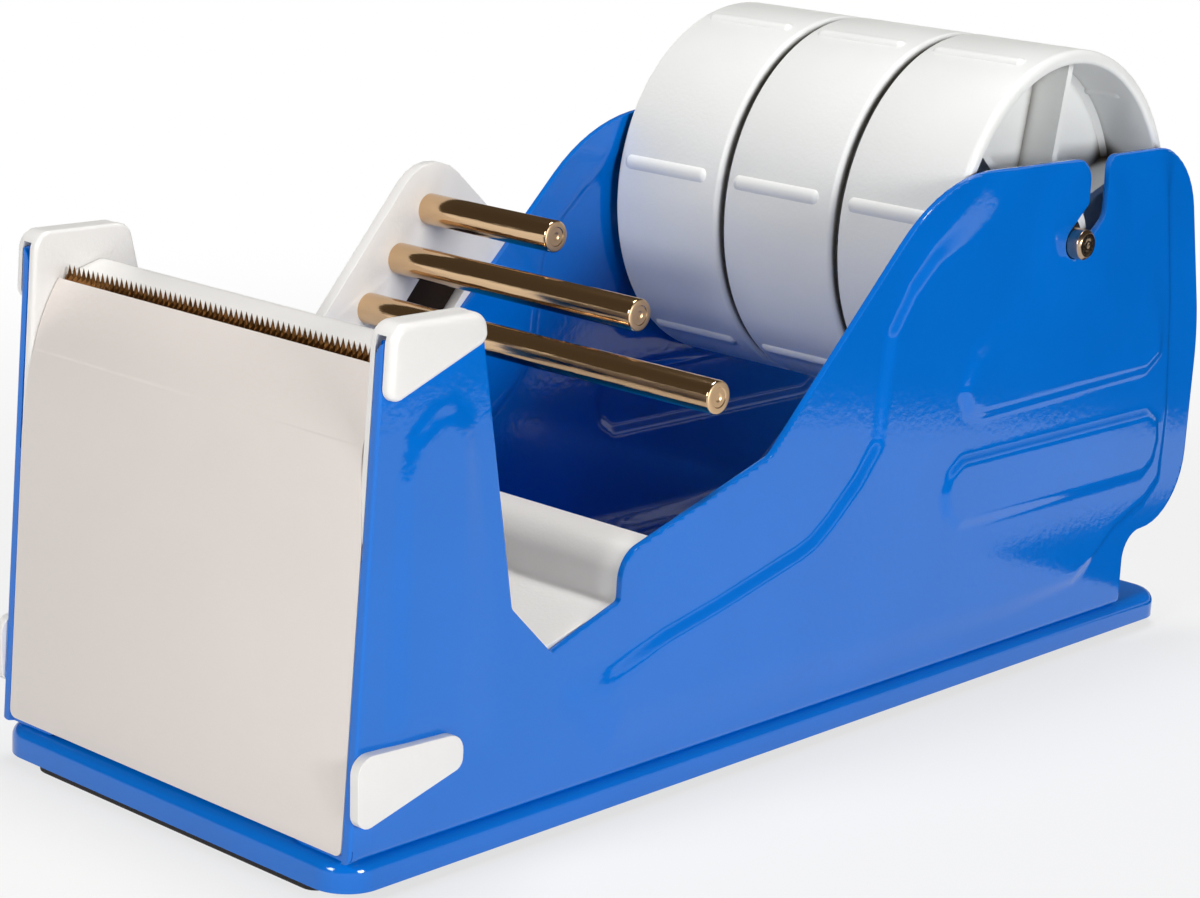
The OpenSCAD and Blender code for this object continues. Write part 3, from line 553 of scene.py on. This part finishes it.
# A cap is an outer block with a slot for the post, open below, and a longer inner wall beside the blade.
cap_in, cap_x, slot_x, slot_z, wall_in, wall_x = 42.6, 47.05, 45.15, 93, 41.6, 43.1
outer_line = rounded([(-118.2, 81.6, 2.2), (-117.78, 94.97, 3.4), (-97.44, 94.97, 3.2),
                      (-96.54, 90, 2.2)], 10)
inner_line = rounded([(-119.16, 59, 0.6), (-117.75, 95, 3.4), (-97.44, 95, 3.2), (-92.24, 76, 3),
                      (-114.54, 62, 6)], 10)
cap = prism("right_post_cap", outer_line, cap_in, cap_x)
gap = block("post_slot", Vector((40, -130, 70)) * mm, Vector((slot_x, -80, slot_z)) * mm)
activate(cap)
cut = cap.modifiers.new("cut", "BOOLEAN")
cut.operation = "DIFFERENCE"
cut.solver = "EXACT"
cut.object = gap
bpy.ops.object.modifier_apply(modifier="cut")
bpy.data.objects.remove(gap)
inner_wall = prism("cap_inner_wall", inner_line, wall_in, wall_x)
for part, face_x, width in ((cap, cap_x, 1.3), (inner_wall, wall_in, 0.7)):
    activate(part)
    bevel(part, lambda a, b: abs(a.x - face_x * mm) + abs(b.x - face_x * mm) < 1e-6, width, 5)
join(cap, inner_wall)
left_cap = mirrored(cap, "left_post_cap")
done(cap, white, "frame", "white_plastic", "upper_right_guard")
done(left_cap, white, "frame", "white_plastic", "upper_left_guard")
for node, name in (("lower_right_guard", "right_post_pad"), ("lower_left_guard", "left_post_pad")):
    done(soften(node, name, 1.3, segments=5), white, "frame", "white_plastic", node)
dress(zinc, "post_studs", "post_nuts", "guard_push_nuts")


# INNER TRAY
# A white moulded trough between the panels behind the cutter, which catches cut ends.
# Two screws from below hold it by its bosses.

tray = soften("inner_tray", "cut_end_tray", 0.4)
done(tray, white, "frame", "white_plastic", "inner_tray")
dress(zinc, "tray_screws")


# ROD BRACKET
# A slanted pale steel plate with a window, riveted to the left panel through a clamp plate that is coloured
# near black as painted shade seen through the window.
# It carries the three guide rods, each with a screw from outside.

bracket = soften("rod_bracket", "slanted_bracket", 0.35)
# The window of the CAD plate is shortened at its upper end. The first rod gives the place of the plate.
slant = math.radians(49.7)
along = Vector((-math.cos(slant), -math.sin(slant)))
across = Vector((-along.y, along.x))
rod_at, rod_along, rod_across = Vector((-20.3, 89.8)), 9.9, 8.8
bracket_corner = rod_at - rod_along * along - rod_across * across
window_end, window_sides, window_shift = (11.5, 15), (15, 29.5), 1.6
for v in bracket.data.vertices:
    reach = v.co.yz / mm - bracket_corner
    in_end = window_end[0] < reach.dot(along) < window_end[1]
    if in_end and window_sides[0] < reach.dot(across) < window_sides[1]:
        v.co += Vector((0, *along)) * window_shift * mm
done(bracket, white, "frame", "white_paint", "rod_bracket")
# Painted shade: the clamp plate behind the bracket's window is coloured near black, so that the window shows
# dark like a shaded opening.
window_shade = finish("near_black_window_shade", srgb(34, 23, 15), 0.5, spread=0.15, grain=200, depth=0.05, gloss=0.15)
back_plate = soften("bracket_clamp_plate", "bracket_back_plate", 0.15)
done(back_plate, window_shade, "frame", "black_paint", "bracket_clamp_plate")
# The rivets end inside the sheet of the left panel.
rivet_end = -44.2
rivets = soften("bracket_rivets", "painted_rivets", 0.05)
for v in rivets.data.vertices:
    v.co.x = min(v.co.x, rivet_end * mm)
done(rivets, zinc, "frame", "zinc_steel", "bracket_rivets")
dress(zinc, "rod_screws")


# GUIDE RODS
# Three solid rods of drawn metal with a warm bright plating, each longer than the one above.
# Their free ends are turned: a chamfer, a flat ring and a shallow centre.

def bar(name, low, high, sides=64):
    """A round bar along X inside the box of the CAD piece that it stands for."""
    bpy.ops.object.select_all(action="DESELECT")
    bpy.ops.mesh.primitive_cylinder_add(vertices=sides, radius=(high.z - low.z) / 2, depth=high.x - low.x,
                                        location=(low + high) / 2, rotation=(0, math.pi / 2, 0))
    piece = bpy.context.object
    piece.name = name
    bpy.ops.object.transform_apply(location=True, rotation=True, scale=True)
    return piece


def turn_end(*rings):
    """Turns rings into the selected end faces, each given as its width and its rise."""
    for width, rise in rings:
        bpy.ops.mesh.inset(thickness=width * mm, depth=rise * mm)


plated = finish("champagne_plating", srgb(216, 184, 146), 0.12, spread=0.06, grain=250, depth=0.04, metal=1,
                stretch=(0.08, 1, 1), fine=1800, faced=0.5)
for node in ("short_guide_rod", "middle_guide_rod", "long_guide_rod"):
    low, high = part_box(node)
    rod = bar(node.replace("guide", "turned"), low, high)
    bevel(rod, lambda a, b: min(a.x, b.x) > high.x - 1e-6, 0.5, 3)
    pick(rod, faces=lambda f: f.normal.x > 0.99)
    turn_end((0.7, 0), (0.15, -0.15), (0.9, 0), (0.3, -0.2))
    done(rod, plated, "frame", "rod_metal", node, angle=30)


# AXLE
# A turned steel bar that lies in the slots of both panels. Two spring rings in grooves keep it from sliding
# sideways, and two plastic spacers part the cores.

steel = finish("turned_steel", srgb(182, 160, 138), 0.22, spread=0.12, grain=300, depth=0.06, metal=1,
               stretch=(3, 1, 1), fine=1500)
axle_end = 49.2
axle = soften("roll_axle", "turned_axle", 0.12)
pick(axle, faces=lambda f: abs(f.normal.x) > 0.99 and abs(f.center.x) > axle_end * mm)
turn_end((0.35, -0.06), (0.8, 0), (0.2, 0.06), (0.55, 0), (0.3, -0.2))
done(axle, steel, "axle", "axle_steel", "roll_axle")
dress(steel, "axle_rings")
core_grey = finish("pale_grey_moulding", srgb(236, 237, 235), 0.38, spread=0.015, grain=40, depth=0.05,
                   fine=1400, gloss=0.45)
# Painted shade: an occlusion test finds narrow gaps, where little light reaches, and the moulding's colour is
# darkened there.
nodes, links = core_grey.node_tree.nodes, core_grey.node_tree.links
crevice = nodes.new("ShaderNodeAmbientOcclusion")
crevice.inputs["Distance"].default_value = 6 * mm
gap_shade = nodes.new("ShaderNodeMapRange")
gap_shade.inputs["From Min"].default_value = 0.4
gap_shade.inputs["From Max"].default_value = 0.65
links.new(crevice.outputs["AO"], gap_shade.inputs["Value"])
gap_shaded_colour = nodes.new("ShaderNodeMix")
gap_shaded_colour.data_type = "RGBA"
# This dark brown is painted shade between the cores, not a colour of the moulding itself.
gap_shaded_colour.inputs["A"].default_value = srgb(70, 58, 42) + [1]
links.new(gap_shade.outputs["Result"], gap_shaded_colour.inputs["Factor"])
shader = nodes["Principled BSDF"]
links.new(shader.inputs["Base Color"].links[0].from_socket, gap_shaded_colour.inputs["B"])
links.new(gap_shaded_colour.outputs["Result"], shader.inputs["Base Color"])
dress(core_grey, "core_spacers")


# ROLL CORES
# Three light grey moulded drums that carry the tape rolls: a rim with one rounded edge, a web with spokes
# and a hub that runs on the axle. Six low ribs grip the inside of a paper tube. All are alike.

core_w, core_r, rim_in, hub_r, bore_r, web, rim_back = 28.4, 38.1, 35.3, 8.0, 3.15, 1.6, 0.9
edge_r, lip_r, inner_r, fillet, hub_draft = 0.4, 1.4, 0.9, 1, 0.8
half, web_x = core_w / 2, web / 2
rim = rim_back - half
profile = ([(-half, bore_r), (-half, hub_r), (-web_x, hub_r + hub_draft), (-web_x, rim_in - fillet),
            (-web_x - fillet, rim_in), (rim, rim_in)]
           + sweep((rim + edge_r, core_r - edge_r), edge_r, 180, 90, 4)
           + sweep((half - lip_r, core_r - lip_r), lip_r, 90, 0, 8)
           + sweep((half - inner_r, rim_in + inner_r), inner_r, 0, -90, 6)
           + [(web_x + fillet, rim_in), (web_x, rim_in - fillet), (web_x, hub_r + hub_draft), (half, hub_r),
              (half, bore_r)])
loop = [(i, (i + 1) % len(profile)) for i in range(len(profile))]
core = drawn("left_drum", [(x * mm, 0, r * mm) for x, r in profile], edges=loop)
bpy.ops.object.mode_set(mode="EDIT")
bpy.ops.mesh.select_all(action="SELECT")
bpy.ops.mesh.spin(steps=180, angle=2 * math.pi, center=(0, 0, 0), axis=(1, 0, 0))
bpy.ops.mesh.select_all(action="SELECT")
bpy.ops.mesh.remove_doubles(threshold=0.004 * mm)
bpy.ops.mesh.normals_make_consistent(inside=False)
bpy.ops.object.mode_set(mode="OBJECT")
spoke_low, spoke_high = Vector((-8.5, -0.8, 7.8)), Vector((8.5, 0.8, 35.5))
grip_r, grip_l, grip_at, grip_end = 1.9, 22.6, Vector((-0.8, 0, 36.9)), 1.7
spoke_turn, grip_turn = -10.2, -40.2
fittings = []
for k in range(6):
    spoke = block("spoke", spoke_low * mm, spoke_high * mm)
    spoke.data.transform(Matrix.Rotation(math.radians(60 * k + spoke_turn), 4, "X"))
    bpy.ops.object.select_all(action="DESELECT")
    bpy.ops.mesh.primitive_cylinder_add(vertices=36, radius=grip_r * mm, depth=grip_l * mm,
                                        location=grip_at * mm, rotation=(0, math.pi / 2, 0))
    grip = bpy.context.object
    bpy.ops.object.transform_apply(location=True, rotation=True, scale=True)
    bevel(grip, lambda a, b: abs(a.x - b.x) < 1e-6, grip_end, 8)
    grip.data.transform(Matrix.Rotation(math.radians(60 * k + grip_turn), 4, "X"))
    fittings += [spoke, grip]
join(core, *fittings)
cores = [core] + [bpy.data.objects.new(name, core.data.copy()) for name in ("middle_drum", "right_drum")]
for piece, body in zip(cores, ("left_core", "middle_core", "right_core")):
    low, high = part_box(body.replace("core", "roll_core"))
    if piece is not core:
        bpy.context.collection.objects.link(piece)
    piece.data.transform(Matrix.Translation(((low.x + high.x) / 2, seat[0] * mm, seat[1] * mm)))
    done(piece, core_grey, body, "core_plastic", body.replace("core", "roll_core"), angle=40)


# STUDIO
# White paper under and behind the object, and three soft boxes: low at the right, overhead and in front.
# Two dark cards lie on the paper, seen only in the gloss of the paint. None of it is part of the object.

scene = bpy.context.scene
scene.view_settings.view_transform = "Standard"
turn, climb, roll, distance = math.radians(40.72), math.radians(12.96), math.radians(3.38), 0.5762


def seen(nodes, links):
    """One for rays that see the white background, from the camera, a mirror or glass, and else zero."""
    path = nodes.new("ShaderNodeLightPath")
    either = nodes.new("ShaderNodeMath")
    either.operation = "MAXIMUM"
    links.new(path.outputs["Is Camera Ray"], either.inputs[0])
    links.new(path.outputs["Is Glossy Ray"], either.inputs[1])
    each = nodes.new("ShaderNodeMath")
    each.operation = "MAXIMUM"
    links.new(either.outputs["Value"], each.inputs[0])
    links.new(path.outputs["Is Transmission Ray"], each.inputs[1])
    return each.outputs["Value"]


bpy.ops.object.select_all(action="DESELECT")
bpy.ops.mesh.primitive_plane_add(size=8)
floor = bpy.context.object
floor.name = "floor"
paper = bpy.data.materials.new("white_paper")
paper.use_nodes = True
nodes, links = paper.node_tree.nodes, paper.node_tree.links
nodes["Principled BSDF"].inputs["Base Color"].default_value = (0.7, 0.7, 0.7, 1)
nodes["Principled BSDF"].inputs["Roughness"].default_value = 0.9
nodes["Principled BSDF"].inputs["Specular IOR Level"].default_value = 0
glow = nodes.new("ShaderNodeEmission")
place = nodes.new("ShaderNodeTexCoord")
reach = nodes.new("ShaderNodeMapping")
reach.inputs["Scale"].default_value = (1 / 0.45, 1 / 0.55, 1)
links.new(place.outputs["Object"], reach.inputs["Vector"])
away = nodes.new("ShaderNodeVectorMath")
away.operation = "LENGTH"
links.new(reach.outputs["Vector"], away.inputs[0])
fade = nodes.new("ShaderNodeMapRange")
fade.interpolation_type = "SMOOTHSTEP"
fade.inputs["From Min"].default_value = 0.2
fade.inputs["To Min"].default_value = 0.7
links.new(away.outputs["Value"], fade.inputs["Value"])
share = nodes.new("ShaderNodeMath")
share.operation = "MULTIPLY"
links.new(fade.outputs["Result"], share.inputs[1])
links.new(seen(nodes, links), share.inputs[0])
both = nodes.new("ShaderNodeMixShader")
links.new(share.outputs["Value"], both.inputs["Fac"])
links.new(nodes["Principled BSDF"].outputs["BSDF"], both.inputs[1])
links.new(glow.outputs["Emission"], both.inputs[2])
links.new(both.outputs["Shader"], nodes["Material Output"].inputs["Surface"])
floor.data.materials.append(paper)

bpy.ops.object.select_all(action="DESELECT")
bpy.ops.mesh.primitive_plane_add(size=2)
card = bpy.context.object
card.name = "dark_card"
card.data.transform(Matrix.Rotation(turn, 4, "Z") @ Matrix.Translation((1.29, 0, 0.001)))
bpy.ops.object.select_all(action="DESELECT")
bpy.ops.mesh.primitive_plane_add(size=0.5)
rear_card = bpy.context.object
rear_card.name = "rear_card"
rear_card.data.transform(Matrix.Translation((-0.15, 0.38, 0.0012)))
matt = bpy.data.materials.new("dark_felt")
matt.use_nodes = True
matt.node_tree.nodes["Principled BSDF"].inputs["Base Color"].default_value = (0.01, 0.01, 0.01, 1)
matt.node_tree.nodes["Principled BSDF"].inputs["Specular IOR Level"].default_value = 0
for piece in (card, rear_card):
    piece.data.materials.append(matt)
    piece.visible_camera = piece.visible_diffuse = piece.visible_shadow = piece.visible_transmission = False

sky = bpy.data.worlds.new("surroundings")
scene.world = sky
sky.use_nodes = True
nodes, links = sky.node_tree.nodes, sky.node_tree.links
place = nodes.new("ShaderNodeTexCoord")
split = nodes.new("ShaderNodeSeparateXYZ")
links.new(place.outputs["Generated"], split.inputs["Vector"])
ceiling = nodes.new("ShaderNodeValToRGB")
ceiling.color_ramp.elements[0].position = 0.02
ceiling.color_ramp.elements[0].color = (1, 1, 1, 1)
ceiling.color_ramp.elements[1].position = 0.16
ceiling.color_ramp.elements[1].color = (0.08, 0.065, 0.045, 1)
links.new(split.outputs["Z"], ceiling.inputs["Fac"])
links.new(ceiling.outputs["Color"], nodes["Background"].inputs["Color"])
level = nodes.new("ShaderNodeMapRange")
level.inputs["To Min"].default_value = 0.2
level.inputs["To Max"].default_value = 1
links.new(seen(nodes, links), level.inputs["Value"])
links.new(level.outputs["Result"], nodes["Background"].inputs["Strength"])

boxes = (("side_box", (1.3, -0.2, 0.3), 0.35, 11), ("top_box", (-0.15, 0.15, 1.3), 0.5, 11),
         ("front_box", (0.1, -1.3, 0.6), 0.4, 9.5))
for name, spot, size, power in boxes:
    lamp = bpy.data.lights.new(name, "AREA")
    lamp.energy = power
    lamp.size = size
    stand = bpy.data.objects.new(name, lamp)
    scene.collection.objects.link(stand)
    stand.location = spot
    stand.rotation_euler = (Vector((0, 0, 0.06)) - Vector(spot)).to_track_quat("-Z", "Y").to_euler()

back = Vector((math.sin(turn) * math.cos(climb), -math.cos(turn) * math.cos(climb), math.sin(climb)))
right = Vector((0, 0, 1)).cross(back).normalized()
up = back.cross(right)
right, up = right * math.cos(roll) + up * math.sin(roll), up * math.cos(roll) - right * math.sin(roll)
picture_w, picture_h, focal_px, axis_px = 1200, 898, 2979.5, (656.7, 377.9)
lens = bpy.data.cameras.new("camera")
lens.sensor_width = 36
lens.lens = focal_px / picture_w * lens.sensor_width
lens.shift_x = (picture_w / 2 - axis_px[0]) / picture_w
lens.shift_y = (axis_px[1] - picture_h / 2) / picture_w
lens.clip_start = 0.01
camera = bpy.data.objects.new("camera", lens)
scene.collection.objects.link(camera)
stand = Matrix((right, up, back)).transposed().to_4x4()
stand.translation = Vector((0, -0.0015, 0.062)) + back * distance
camera.matrix_world = stand
scene.camera = camera
